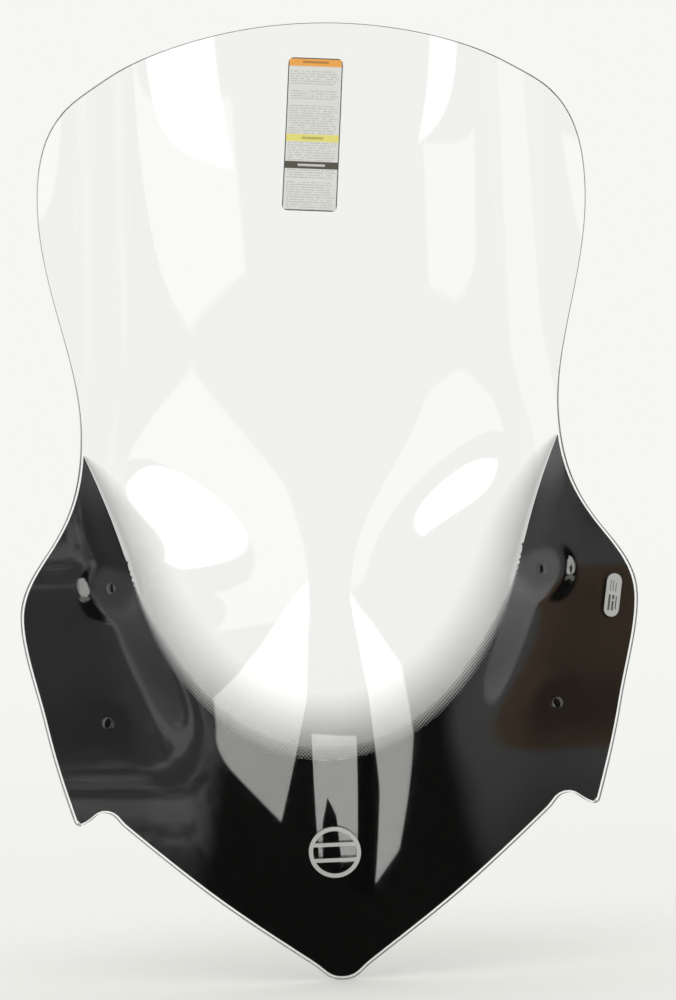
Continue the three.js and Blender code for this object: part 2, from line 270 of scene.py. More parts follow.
def depth(x, z):
    """Depth of the front face with the four screw seats pressed flat."""
    y = formed_depth(x, z)
    for seat_x, seat_z, seat_y, across, up in SEATS:
        reach = np.hypot(x - seat_x, z - seat_z)
        flat = seat_y + across * (x - seat_x) + up * (z - seat_z)
        y = lerp(flat, y, ease((SEAT_RADIUS, SEAT_RADIUS + SEAT_BLEND), reach))
    return y


# The foremost point of the middle line lies on the front of the frame's own sheet.
MIDLINE_HEIGHTS = np.linspace(0, HEIGHT, 2000)
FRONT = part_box("screen_shell")[0].y - float(midline_depth(MIDLINE_HEIGHTS).min())


def behind(x, z, distance):
    """Points at a distance behind the front face, along its normal."""
    across, up = slopes(depth, x, z)
    length = np.sqrt(across * across + 1 + up * up)
    share = distance / length
    return np.stack([x - across * share, FRONT + depth(x, z) + share, z - up * share], axis=-1)


def lay(verts, distance):
    """Moves points from the flat plan (x, 0, z) onto the formed surface."""
    plan = np.array([vert.co[:] for vert in verts])
    for vert, point in zip(verts, behind(plan[:, 0], plan[:, 2], distance)):
        vert.co = point


# ---------------------------------------------------------------- outlines


def knot(x, z, heading, before=0.34, after=0.34):
    """A point that an outline passes, its heading in degrees and its pull before and after."""
    way = Vector((math.cos(math.radians(heading)), 0, math.sin(math.radians(heading))))
    return {"at": Vector((x, 0, z)), "way": way, "before": before, "after": after}


def lengths_along(points):
    return np.concatenate([[0], np.cumsum(np.linalg.norm(np.diff(points, axis=0), axis=1))])


def resampled(points, marks):
    """Points of a line at the given shares of its length."""
    run = lengths_along(points)
    places = np.asarray(marks) * run[-1]
    return np.stack([np.interp(places, run, points[:, axis]) for axis in range(3)], axis=-1)


def edge_through(knots, cuts):
    """A smooth line through the knots, cut evenly between each two."""
    parts = []
    for start, end, count in zip(knots, knots[1:], cuts):
        span = (end["at"] - start["at"]).length
        leave = start["at"] + start["way"] * span * start["after"]
        arrive = end["at"] - end["way"] * span * end["before"]
        curve = interpolate_bezier(start["at"], leave, arrive, end["at"], CURVE_STEPS)
        line = np.array([point[:] for point in curve])
        parts.append(resampled(line, np.linspace(0, 1, count + 1))[1:])
    return np.concatenate([[knots[0]["at"][:]], *parts])


def between(start, end, shares):
    return lerp(start[0], end[0], shares[0]), lerp(start[1], end[1], shares[1])


def step_from(place, step):
    return place[0] + step[0], place[1] + step[1]


def mirrored(points):
    return points * np.array([-1, 1, 1])


V_MIDDLE = step_from(between(TIP_END, NOTCH, (0.5, 0.5)), (0, -V_EDGE_HOLLOW))
WING_TIP_MIDDLE = knot(*step_from(WING_TIP, WING_TIP_ROUND["middle"]), 14, 0.5, 0.5)
TOP_CORNER = knot(*between(FLARE, TOP_ARC_END, FLARE_TO_TOP_ARC), 134)
LOWER_KNOTS = (
    knot(0, 0, 0, 0, 0.5),
    knot(*TIP_END, V_EDGE_HEADING - 1),
    knot(*V_MIDDLE, V_EDGE_HEADING),
    knot(*step_from(NOTCH, NOTCH_LEAD), V_EDGE_HEADING + 2.5),
    knot(*NOTCH, 3, 0.5, 0.4),
    knot(*step_from(WING_TIP, WING_TIP_ROUND["near"]), -31),
    knot(*step_from(WING_TIP, WING_TIP_ROUND["under"]), -28),
    WING_TIP_MIDDLE,
)
SIDE_KNOTS = (
    WING_TIP_MIDDLE,
    knot(*step_from(WING_TIP, WING_TIP_ROUND["beyond"]), 73),
    knot(*WING, 76),
    knot(*SHOULDER, 90, 0.3, 0.36),
    knot(*between(SHOULDER, WAIST, SHOULDER_TO_WAIST), 128),
    knot(*WAIST, 90, 0.42, 0.3),
    knot(*FLARE, 90, 0.36, 0.36),
    TOP_CORNER,
)
TOP_KNOTS = (TOP_CORNER, knot(*TOP_ARC_END, 156), knot(0, HEIGHT, 180))
WINDOW_KNOTS = (
    knot(0, WINDOW_BOTTOM, 0),
    knot(*WINDOW_SIDE, 76, 0.42, 0.3),
    knot(WAIST[0] + 0.001, WAIST[1] - WINDOW_END_BELOW_WAIST, 64),
)
LOWER_EDGE = edge_through(LOWER_KNOTS, TIP_TO_WING_CUTS)
SIDE_EDGE = edge_through(SIDE_KNOTS, WING_TO_CORNER_CUTS)
TOP_EDGE = edge_through(TOP_KNOTS, CORNER_TO_TOP_CUTS)
WINDOW_EDGE = edge_through(WINDOW_KNOTS, WINDOW_CUTS)


def across_middle(half):
    """A line from left to right, from its right half that starts on the middle."""
    return np.concatenate([mirrored(half[:0:-1]), half])


# ---------------------------------------------------------------- pieces from flat plans


def flat_grid(columns, rows, place):
    """A grid whose points are put on the flat plan by place(column, row), with its UV map 0 to 1."""
    bm = bmesh.new()
    bm.loops.layers.uv.new("UVMap")
    bmesh.ops.create_grid(bm, x_segments=columns, y_segments=rows, size=0.5, calc_uvs=True)
    for vert in bm.verts:
        column = round((vert.co.x + 0.5) * columns)
        row = round((vert.co.y + 0.5) * rows)
        vert.co = place(column, row)
    return bm


def coons(bottom, top, left, right):
    """Inside points that follow four edges, each edge's pull fading across the patch."""
    columns, rows = len(bottom) - 1, len(left) - 1

    def place(column, row):
        u, v = column / columns, row / rows
        edges = lerp(bottom[column], top[column], v) + lerp(left[row], right[row], u)
        corners = lerp(lerp(bottom[0], bottom[-1], u), lerp(top[0], top[-1], u), v)
        return edges - corners

    return columns, rows, place


def points_of(made):
    return [item for item in made if isinstance(item, bmesh.types.BMVert)]


def open_holes(bm, radius):
    """Opens the four screw holes, each a true circle in the plane of its seat."""
    for seat_x, seat_z, _, across, up in SEATS:
        middle = Vector((seat_x, 0, seat_z))
        ring = radius * HOLE_RING
        near = [f for f in bm.faces if min((v.co - middle).length for v in f.verts) < ring]
        bmesh.ops.delete(bm, geom=near, context="FACES")
        rough = [e for e in bm.edges if e.is_boundary and (e.verts[0].co - middle).length < HOLE_SEARCH]
        halfway = points_of(bmesh.ops.subdivide_edges(bm, edges=rough, cuts=1)["geom_inner"])
        halves = {e for vert in halfway for e in vert.link_edges if e.is_boundary}
        for vert in {v for e in halves for v in e.verts}:
            vert.co = middle + (vert.co - middle).normalized() * ring
        for vert in points_of(bmesh.ops.extrude_edge_only(bm, edges=list(halves))["geom"]):
            way = (vert.co - middle).normalized()
            vert.co = middle + way * radius / math.hypot(1, across * way.x + up * way.z)


def relax(bm, rounds):
    """Evens out a plan's inner points, so that no face is folded over."""
    inner = [v for v in bm.verts if not v.is_boundary]
    for _ in range(rounds):
        bmesh.ops.smooth_vert(
            bm, verts=inner, factor=0.5, use_axis_x=True, use_axis_y=True, use_axis_z=True)


def closed_layer(bm, near, far):
    """Makes a closed layer of a flat plan, between two distances behind the front face."""
    front = bm.verts[:]
    back = points_of(bmesh.ops.extrude_face_region(bm, geom=bm.faces[:])["geom"])
    lay(front, near)
    lay(back, far)
    bmesh.ops.recalc_face_normals(bm, faces=bm.faces[:])


def finish_piece(bm, name, materials, nodes=()):
    """Shades a mesh smooth between its creases, makes its object and tells the frame about it."""
    for face in bm.faces:
        face.smooth = True
    for edge in bm.edges:
        one_surface = len({face.material_index for face in edge.link_faces}) == 1
        edge.smooth = one_surface and edge.calc_face_angle(0) < CREASE_ANGLE
    mesh = bpy.data.meshes.new(name)
    bm.to_mesh(mesh)
    bm.free()
    for material in materials:
        mesh.materials.append(material)
    piece = bpy.data.objects.new(name, mesh)
    bpy.context.collection.objects.link(piece)
    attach(piece, "root")
    if nodes:
        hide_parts(*nodes)


def sharp_edges(bm):
    return {e for e in bm.edges if len(e.link_faces) == 2 and e.calc_face_angle() > SHARP_ANGLE}


def round_edges(bm, edges, amount, segments):
    bmesh.ops.bevel(
        bm, geom=list(edges), offset=amount, offset_type="OFFSET", segments=segments,
        profile=0.5, affect="EDGES", material=1, clamp_overlap=True)


# ---------------------------------------------------------------- materials


BLACK = (0, 0, 0, 1)
WHITE = (1, 1, 1, 1)
CLEAR_IOR = 1.585
INK_IOR = 1.5
EDGE_TINT = (0.55, 0.56, 0.55, 1)
# colour of the painted shadow inside the window's edge
PAINTED_SHADOW_TINT = (0.012, 0.012, 0.013, 1)
DULL_SILVER = (0.42, 0.43, 0.42, 1)
SILVER_FLAKE = (0.46, 0.47, 0.45, 1)
BAR_TINT = (0.03, 0.03, 0.03, 1)
RULE_TINT = (0.34, 0.34, 0.33, 1)
BORDER_TINT = (0.10, 0.10, 0.10, 1)

# Ramps of the painted shadow's fade, as from, to and the strengths at both: away from the middle, and away
# from the fringe.
FADE_ALONG = (0.02, 0.30, 0.57, 0.34)
FADE_START = (0.0, 0.14, 0.55, 1.0)
FADE_POWER = 1.2

# The care label in shares of its width or height: rows of short rules, and three bands, each with
# a plain stroke across its middle.
CARE_ROWS = 62.0
CARE_STROKES = 26.0
CARE_MARGIN = 0.055
CARE_LINE_ENDS = (0.35, 0.65, 0.84, 0.95)
CARE_BANDS = (
    {"band": (0.945, 1.0), "ground": "header", "middle": 0.972, "half": 0.24,
     "tint": (0.42, 0.20, 0.06, 1)},
    {"band": (0.452, 0.500), "ground": "notice", "middle": 0.476, "half": 0.20,
     "tint": (0.44, 0.41, 0.12, 1)},
    {"band": (0.275, 0.322), "ground": "dark_band", "middle": 0.2985, "half": 0.25,
     "tint": (0.75, 0.75, 0.72, 1)},
)
CARE_STROKE_HALF = 0.0075
CARE_BORDER = 0.0007

# Plain bars on the approval label: left, right, low and high in shares of its width and height.
APPROVAL_BARS = (
    (0.22, 0.36, 0.14, 0.50),
    (0.46, 0.60, 0.14, 0.36),
    (0.46, 0.60, 0.40, 0.50),
    (0.70, 0.78, 0.18, 0.48),
    (0.26, 0.31, 0.58, 0.84),
    (0.44, 0.49, 0.58, 0.84),
    (0.62, 0.67, 0.58, 0.78),
)


class Nodes:
    """Short calls for building a node tree."""

    def __init__(self, tree):
        self.tree = tree

    def add(self, kind, inputs=None, **settings):
        node = self.tree.nodes.new(kind)
        for name, value in settings.items():
            setattr(node, name, value)
        for name, value in (inputs or {}).items():
            if isinstance(value, bpy.types.NodeSocket):
                self.link(value, node.inputs[name])
            else:
                node.inputs[name].default_value = value
        return node

    def link(self, value, socket):
        self.tree.links.new(value, socket)

    def math(self, operation, *values, clamp=False):
        node = self.add("ShaderNodeMath", dict(enumerate(values)), operation=operation, use_clamp=clamp)
        return node.outputs[0]

    def product(self, first, *others):
        for value in others:
            first = self.math("MULTIPLY", first, value)
        return first

    def band(self, value, low, high):
        """1 between two values, 0 outside."""
        above = self.math("GREATER_THAN", value, low)
        return self.product(above, self.math("LESS_THAN", value, high))

    def ramp(self, value, low, high, to_low=0.0, to_high=1.0):
        node = self.add("ShaderNodeMapRange", {
            "Value": value, "From Min": low, "From Max": high, "To Min": to_low, "To Max": to_high},
            interpolation_type="SMOOTHSTEP")
        return node.outputs["Result"]

    def mix(self, share, first, second):
        node = self.add("ShaderNodeMix", data_type="RGBA")
        for name, value in ((0, share), (6, first), (7, second)):
            if isinstance(value, bpy.types.NodeSocket):
                self.link(value, node.inputs[name])
            else:
                node.inputs[name].default_value = value
        return node.outputs[2]

    def grey(self, value):
        return self.mix(value, BLACK, WHITE)

    def noise(self, scale, detail=3.0, vector=None):
        vector = vector or self.add("ShaderNodeTexCoord").outputs["Object"]
        node = self.add("ShaderNodeTexNoise", {"Vector": vector, "Scale": scale, "Detail": detail})
        return node.outputs["Fac"]

    def map_place(self):
        """How far across and up the piece's own UV map."""
        place = self.add("ShaderNodeSeparateXYZ", {"Vector": self.add("ShaderNodeTexCoord").outputs["UV"]})
        return place.outputs["X"], place.outputs["Y"]


def solid(colour):
    return (*colour, 1.0)


def surface(name, **values):
    """A material with a Principled surface, and its node helper."""
    material = bpy.data.materials.new(name)
    material.use_nodes = True
    nodes = Nodes(material.node_tree)
    shader = material.node_tree.nodes["Principled BSDF"]
    for key, value in values.items():
        shader.inputs[key.replace("_", " ")].default_value = value
    return material, nodes, shader


def clear_sheet_material():
    material, nodes, shader = surface(
        "clear_polycarbonate", Base_Color=solid(colours().clear), Transmission_Weight=1.0, IOR=CLEAR_IOR)
    handled = nodes.noise(7.0, 4.0)
    nodes.link(nodes.ramp(handled, 0.3, 0.8, 0.004, 0.022), shader.inputs["Roughness"])
    return material


def cut_edge_material():
    material, nodes, shader = surface(
        "routed_edge", Base_Color=EDGE_TINT, Transmission_Weight=0.55, IOR=CLEAR_IOR)
    passes = nodes.noise(900.0, 2.0)
    nodes.link(nodes.ramp(passes, 0.3, 0.7, 0.25, 0.40), shader.inputs["Roughness"])
    return material


def black_ink_material():
    material, nodes, shader = surface("black_ink", Base_Color=solid(colours().ink), IOR=INK_IOR)
    grain = nodes.noise(260.0, 4.0)
    nodes.link(nodes.ramp(grain, 0.3, 0.7, 0.05, 0.11), shader.inputs["Roughness"])
    return material


def painted_shadow_material():
    """Painted shadow inside the window's edge: a dark film that only tints, thinner away from the fringe and
    up the sides.
    """
    material, nodes, shader = surface("painted_shadow_film_material", Base_Color=PAINTED_SHADOW_TINT, Roughness=0.5)
    u, away = nodes.map_place()
    strength = nodes.ramp(nodes.math("ABSOLUTE", nodes.math("SUBTRACT", u, 0.5)), *FADE_ALONG)
    start = nodes.ramp(away, *FADE_START)
    falling = nodes.math("POWER", nodes.math("SUBTRACT", 1.0, away, clamp=True), FADE_POWER)
    cloud = nodes.ramp(nodes.noise(60.0), 0.2, 0.8, 0.93, 1.0)
    nodes.link(nodes.product(strength, falling, cloud, start), shader.inputs["Alpha"])
    return material


def care_label_material(width, height):
    """A white film with three coloured bands and grey rules that stand for its lines."""
    material, nodes, shader = surface("care_label_film", Roughness=0.35)
    u, v = nodes.map_place()
    # rules: rows of short strokes between the margins
    rows = nodes.math("FRACT", nodes.product(v, CARE_ROWS))
    row_number = nodes.math("FLOOR", nodes.product(v, CARE_ROWS))
    where = nodes.add("ShaderNodeCombineXYZ", {
        "X": nodes.product(u, CARE_STROKES), "Y": nodes.product(row_number, 7.31)}).outputs[0]
    strokes = nodes.math("GREATER_THAN", nodes.noise(1.0, 2.0, where), 0.44)
    block = nodes.add(
        "ShaderNodeTexNoise", {"W": nodes.product(row_number, 0.29), "Scale": 1.0},
        noise_dimensions="1D").outputs["Fac"]
    inside = nodes.band(u, CARE_MARGIN, nodes.ramp(block, *CARE_LINE_ENDS))
    gaps = nodes.math("GREATER_THAN", block, 0.40)
    rule = nodes.product(nodes.band(rows, 0.25, 0.72), strokes, inside, gaps, 0.42)
    colour = nodes.mix(rule, solid(colours().paper), RULE_TINT)
    for item in CARE_BANDS:
        colour = nodes.mix(nodes.band(v, *item["band"]), colour, solid(getattr(colours(), item["ground"])))
        level = nodes.band(v, item["middle"] - CARE_STROKE_HALF, item["middle"] + CARE_STROKE_HALF)
        reach = nodes.band(u, 0.5 - item["half"], 0.5 + item["half"])
        colour = nodes.mix(nodes.product(level, reach, 0.8), colour, item["tint"])
    # the thin border, as wide along the sides as along the ends
    side = nodes.product(nodes.math("MINIMUM", u, nodes.math("SUBTRACT", 1.0, u)), width)
    end = nodes.product(nodes.math("MINIMUM", v, nodes.math("SUBTRACT", 1.0, v)), height)
    border = nodes.math("LESS_THAN", nodes.math("MINIMUM", side, end), CARE_BORDER)
    nodes.link(nodes.mix(border, colour, BORDER_TINT), shader.inputs["Base Color"])
    return material


def approval_label_material():
    """A satin silver film with a few plain dark bars along it."""
    material, nodes, shader = surface("approval_label_film", Metallic=0.2, Roughness=0.35)
    u, v = nodes.map_place()
    brushed = nodes.ramp(nodes.noise(400.0), 0.3, 0.7, 0.92, 1.05)
    silver = nodes.mix(brushed, DULL_SILVER, solid(colours().silver))
    bars = 0
    for left, right, low, high in APPROVAL_BARS:
        bar = nodes.product(nodes.band(u, left, right), nodes.band(v, low, high))
        bars = nodes.math("MAXIMUM", bars, bar)
    nodes.link(nodes.mix(nodes.product(bars, 0.85), silver, BAR_TINT), shader.inputs["Base Color"])
    return material


def silver_ink_material():
    material, nodes, shader = surface("silver_ink", Metallic=0.15, Roughness=0.42)
    flake = nodes.noise(1500.0, 2.0)
    colour = nodes.mix(nodes.ramp(flake, 0.35, 0.65), SILVER_FLAKE, solid(colours().silver))
    nodes.link(colour, shader.inputs["Base Color"])
    return material


# ---------------------------------------------------------------- the pieces


def sheet_plan():
    bottom, top = across_middle(LOWER_EDGE), across_middle(TOP_EDGE[::-1])
    return flat_grid(*coons(bottom, top, mirrored(SIDE_EDGE), SIDE_EDGE))


def inset_line(points, margin):
    """A line in the plan moved to its left by a margin."""
    before = np.roll(points, 1, axis=0)
    after = np.roll(points, -1, axis=0)
    before[0], after[-1] = points[0], points[-1]
    way = after - before
    way /= np.linalg.norm(way, axis=1)[:, None]
    return points + margin * np.stack([-way[:, 2], way[:, 1], way[:, 0]], axis=-1)


def share_at(points, place):
    """The share of a line's length at its point nearest a place."""
    run = lengths_along(points)
    near = np.argmin(np.hypot(points[:, 0] - place[0], points[:, 2] - place[1]))
    return run[near] / run[-1]


class WINDSHIELD_OT_sheet(bpy.types.Operator):
    """Build the formed clear sheet with its eased edge and four screw holes"""

    bl_idname = "windshield.sheet"
    bl_label = "Clear Sheet"

    def execute(self, context):
        size = sizes()
        bm = sheet_plan()
        open_holes(bm, HOLE_RADIUS)
        relax(bm, SHEET_RELAX_ROUNDS)
        closed_layer(bm, 0, size.thickness)
        sharp = sharp_edges(bm)
        for face in bm.faces:
            face.material_index = int(sum(edge in sharp for edge in face.edges) == 2)
        round_edges(bm, sharp, size.edge_round, EDGE_SEGMENTS)
        finish_piece(
            bm, "clear_sheet", [clear_sheet_material(), cut_edge_material()], ["screen_shell"])
        return {"FINISHED"}


def print_lines():
    """The window's edge and the print's outer edge, from the middle to the point where they meet."""
    rim = inset_line(np.concatenate([LOWER_EDGE, SIDE_EDGE[1:]]), sizes().print_margin)
    flank = rim[np.argmax(rim[:, 0]):]
    flank = flank[:np.argmin(flank[:, 0])]
    over = WINDOW_EDGE[:, 0] - np.interp(WINDOW_EDGE[:, 2], flank[:, 2], flank[:, 0])
    meeting = np.argmax((over > 0) & (WINDOW_EDGE[:, 2] > SHOULDER[1]))
    inner = WINDOW_EDGE[:meeting + 1]
    shoulder = np.argmax(rim[:, 0])
    last = shoulder + np.argmax(rim[shoulder:, 2] > inner[-1][2])
    return inner, np.concatenate([rim[:last], inner[-1:]])


class WINDSHIELD_OT_print(bpy.types.Operator):
    """Build the black print behind the sheet, with its dotted fringe and a soft fade of painted shadow"""

    bl_idname = "windshield.print"
    bl_label = "Black Print"

    def execute(self, context):
        size = sizes()
        near = size.thickness + FILM_GAP
        far = near + size.print_thickness
        ink = black_ink_material()
        self.field(near, far, ink)
        self.dots(near, far, ink)
        self.fade(far)
        return {"FINISHED"}

    def field(self, near, far, ink):
        inner, outer = print_lines()
        outer_marks = [0, *(share_at(outer, rim) for rim, _ in PRINT_LINKS), 1]
        inner_marks = [0, *(share_at(inner, window) for _, window in PRINT_LINKS), 1]
        marks = np.linspace(0, 1, PRINT_COLUMNS + 1)
        inner_half = resampled(inner, np.interp(marks, outer_marks, inner_marks))
        outer_half = resampled(outer, marks)
        inner_line, outer_line = across_middle(inner_half), across_middle(outer_half)

        def place(column, row):
            return lerp(inner_line[column], outer_line[column], row / PRINT_ROWS)

        bm = flat_grid(len(inner_line) - 1, PRINT_ROWS, place)
        closed_layer(bm, near, far)
        finish_piece(bm, "print_field", [ink], ["mask_print"])

    def dots(self, near, far, ink):
        size = sizes()
        edge = across_middle(WINDOW_EDGE)
        tree = KDTree(len(edge))
        for index, point in enumerate(edge):
            tree.insert(point, index)
        tree.balance()
        row_gap = size.dot_pitch / math.sqrt(2)
        bm = bmesh.new()
        bm.loops.layers.uv.new("UVMap")
        for row in range(int((DOTS_TOP - WINDOW_BOTTOM) / row_gap)):
            z = WINDOW_BOTTOM + row * row_gap
            reach = size.fringe * (1 - float(ease(DOTS_TAPER, z)))
            half = float(np.interp(z, WINDOW_EDGE[:, 2], WINDOW_EDGE[:, 0]))
            shift = row % 2 * row_gap
            last = 2 * math.ceil(half / row_gap / 2 + 1)
            for column in range(-last, last + 1, 2):
                x = column * row_gap + shift
                _, _, away = tree.find((x, 0, z))
                outside = abs(x) > half
                if away > (size.dot_pitch * DOT_OVERLAP if outside else reach):
                    continue
                radius = lerp(*DOT_RADII, 0 if outside else away / reach) * size.dot_pitch
                spin = Matrix.Translation((x, 0, z)) @ UPRIGHT
                bmesh.ops.create_circle(bm, segments=DOT_SIDES, radius=radius, cap_ends=True, matrix=spin)
        closed_layer(bm, near, far)
        finish_piece(bm, "print_dots", [ink])

    # the fade is painted shadow: a dark film that stands for shade inside the window's edge
    def fade(self, far):
        edge = across_middle(resampled(print_lines()[0], np.linspace(0, 1, FADE_COLUMNS + 1)))
        shares = np.abs(np.linspace(-1, 1, len(edge)))
        narrowing = sum(amount * shares ** power for amount, power in FADE_NARROWING)
        widths = sizes().fade * (1 - narrowing)
        end_line = edge + (inset_line(edge, 1.0) - edge) * widths[:, None]

        def place(column, row):
            return lerp(edge[column], end_line[column], row / FADE_ROWS)

        bm = flat_grid(len(edge) - 1, FADE_ROWS, place)
        start = far + FILM_GAP
        closed_layer(bm, start, start + FADE_THICKNESS)
        finish_piece(bm, "painted_shadow_film", [painted_shadow_material()])


def film(label):
    """A rectangle with round corners in the plan, with UV 0 to 1 over its box."""
    half_w, half_h, corner = label["width"] / 2, label["height"] / 2, label["corner"]
    columns = 4 * round(label["width"] / FILM_COLUMNS_WIDTH)
    rows = 4 * round(label["height"] / FILM_ROWS_HEIGHT)

    def rounded(column, row):
        x = (column / columns * 2 - 1) * half_w
        z = (row / rows * 2 - 1) * half_h
        over_x, over_z = abs(x) - (half_w - corner), abs(z) - (half_h - corner)
        if over_x > 0 and over_z > 0:
            reach = max(over_x, over_z) / math.hypot(over_x, over_z)
            x = math.copysign(half_w - corner + over_x * reach, x)
            z = math.copysign(half_h - corner + over_z * reach, z)
        return Vector((x, 0, z))

    bm = flat_grid(columns, rows, rounded)
    layer = bm.loops.layers.uv.active
    for face in bm.faces:
        for loop in face.loops:
            point = loop.vert.co
            loop[layer].uv = (point.x / label["width"] + 0.5, point.z / label["height"] + 0.5)
    put_in_plan(bm, label)
    return bm


def put_in_plan(bm, label):
    """Turns a film by its lean and moves it to its place in the plan."""
    turn = Matrix.Rotation(-math.radians(label["lean"]), 4, "Y")
    place = Matrix.Translation((label["x"], 0, label["z"])) @ turn
    bmesh.ops.transform(bm, matrix=place, verts=bm.verts[:])


def lay_film(bm):
    """Makes a closed film of a flat plan, on the front of the sheet."""
    closed_layer(bm, -FILM_GAP - sizes().film, -FILM_GAP)


class WINDSHIELD_OT_care_label(bpy.types.Operator):
    """Build the tall care label near the top edge"""

    bl_idname = "windshield.care_label"
    bl_label = "Care Label"

    def execute(self, context):
        bm = film(CARE_LABEL)
        lay_film(bm)
        material = care_label_material(CARE_LABEL["width"], CARE_LABEL["height"])
        finish_piece(bm, "care_label_film", [material], ["care_label"])
        return {"FINISHED"}


class WINDSHIELD_OT_approval_label(bpy.types.Operator):
    """Build the small silver label on the wing"""

    bl_idname = "windshield.approval_label"
    bl_label = "Approval Label"

    def execute(self, context):
        bm = film(APPROVAL_LABEL)
        lay_film(bm)
        material = approval_label_material()
        finish_piece(bm, "approval_label_film", [material], ["approval_label"])
        return {"FINISHED"}


class WINDSHIELD_OT_emblem(bpy.types.Operator):
    """Build the plain roundel on the nose, a ring crossed by level bars"""

    bl_idname = "windshield.emblem"
    bl_label = "Emblem"

    def execute(self, context):
        radius, rim, slot_count, bar = (EMBLEM[key] for key in ("radius", "rim", "slots", "bar"))
        inner = radius - rim
        bm = bmesh.new()
        bm.loops.layers.uv.new("UVMap")
        bmesh.ops.create_circle(bm, segments=ROUND_SIDES, radius=radius, cap_ends=True, matrix=UPRIGHT)
        bmesh.ops.inset_region(bm, faces=bm.faces[:], thickness=rim, use_boundary=True)
        disc = [f for f in bm.faces if len(f.verts) > 4]
        slot_height = (2 * inner - (slot_count - 1) * bar) / slot_count
        lows = [-inner + k * (slot_height + bar) for k in range(slot_count)]
        for level in lows[1:] + [low + slot_height for low in lows[:-1]]:
            edges, points = {e for f in disc for e in f.edges}, {v for f in disc for v in f.verts}
            parts = disc + list(edges) + list(points)
            cut = bmesh.ops.bisect_plane(bm, geom=parts, plane_co=(0, 0, level), plane_no=(0, 0, 1))
            disc = [item for item in cut["geom"] if isinstance(item, bmesh.types.BMFace)]
        slots = []
        for face in disc:
            middle = face.calc_center_median().z
            if any(low < middle < low + slot_height for low in lows):
                slots.append(face)
        bmesh.ops.delete(bm, geom=slots, context="FACES")
        # upright cuts, so that the long bars can follow the sheet
        for k in range(-EMBLEM_CUTS, EMBLEM_CUTS + 1):
            everything = bm.verts[:] + bm.edges[:] + bm.faces[:]
            bmesh.ops.bisect_plane(
                bm, geom=everything, plane_co=(k * EMBLEM_CUT_STEP, 0, 0), plane_no=(1, 0, 0))
        put_in_plan(bm, EMBLEM)
        lay_film(bm)
        finish_piece(bm, "emblem_film", [silver_ink_material()], ["emblem_decal"])
        return {"FINISHED"}


# ---------------------------------------------------------------- the stage

FLOOR_RADIUS = 0.45
FLOOR_TINT = (0.93, 0.93, 0.89, 1)
FLOOR_FADE = (0.10, 0.44, 0.64, 0.0)

# The camera's place, its turns in degrees and its lens in millimetres.
CAMERA_PLACE = (0.0416, FRONT - 2.1, 0.2994)
CAMERA_YAW = -0.834
CAMERA_PITCH = 0.017
CAMERA_ROLL = 2.65
CAMERA_LENS = 122.8


def heading_vector(azimuth, elevation):
    """Azimuth in degrees from the way the screen faces, positive towards +X."""
    a, e = math.radians(azimuth), math.radians(elevation)
    return Vector((math.sin(a) * math.cos(e), -math.cos(a) * math.cos(e), math.sin(e)))


def panel_mask(nodes, way, corners):
    """1 inside a panel given by its corners as directions, 0 outside."""
    inside = 1.0
    middle = sum((heading_vector(*corner) for corner in corners), Vector())
    for first, second in zip(corners, corners[1:] + corners[:1]):
        normal = heading_vector(*first).cross(heading_vector(*second)).normalized()
        if normal.dot(middle) < 0:
            normal = -normal
        dot = nodes.add("ShaderNodeVectorMath", {0: way, 1: normal}, operation="DOT_PRODUCT")
        over = dot.outputs["Value"]
        inside = nodes.product(inside, nodes.ramp(over, -PANEL_SOFTNESS, PANEL_SOFTNESS))
    return inside


# Bright panels and dark gaps as corners (azimuth, elevation), each with its radiance.
PANELS = (
    (((-56, 18), (-51, 24), (-33, 36), (-23, 40), (-12, 38), (-12, 24)), 0.75),
    (((17, 28), (47, 24), (43, 34), (26, 39), (18, 39)), 0.65),
    (((-49, 15.5), (-31, 24), (-12, 32), (-16, 10), (-35, -19), (-60, 0), (-57, 10)), 2.0),
    (((16, 28), (30, 22), (41, 14), (44, 0), (38, -27), (25, -37)), 2.2),
    (((16, 28), (24, 10), (28, -12), (25, -40), (8, -40), (8, 28)), 0.012),
    (((-14, 2), (16, 1), (15, -12), (14, -31), (-14, -31)), 2.3),
    (((-12, -34), (-10, -21), (-5.5, -14), (0, -19), (2.5, -34)), 0.02),
)
PANEL_SOFTNESS = 0.006
PANEL_BLUE = 0.97

# The pale sweep low and high, seen straight and through the sheet, and its lift through the sheet.
SWEEP = ((0.85, 0.85, 0.82, 1), (0.922, 0.922, 0.905, 1))
SWEEP_HEIGHTS = (-0.17, -0.01)
SWEEP_LIFT = 1.07
# The room in front: its middle, the lower and upper shelves at +X, and the curtain's folds at -X.
ROOM = (0.024, 0.024, 0.023, 1)
SHELVES = ((0.25, 0.25, 0.25, 1), (0.23, 0.165, 0.115, 1))
SHELF_HEIGHTS = (0.10, 0.20)
SIDES = (0.80, 0.93)
CURTAIN_FOLDS = (0.42, 0.58, 0.17, 0.46)
# The backdrop behind the part, from -X to +X, low down and high up.
BACKDROP_LOW = (-0.3, 0.3, 0.10, 0.22)
BACKDROP_HIGH = (-0.3, 0.3, 0.30, 0.62)
BACKDROP_HEIGHTS = (-0.30, 0.15)
BACKDROP_STARTS = (-0.05, 0.03)


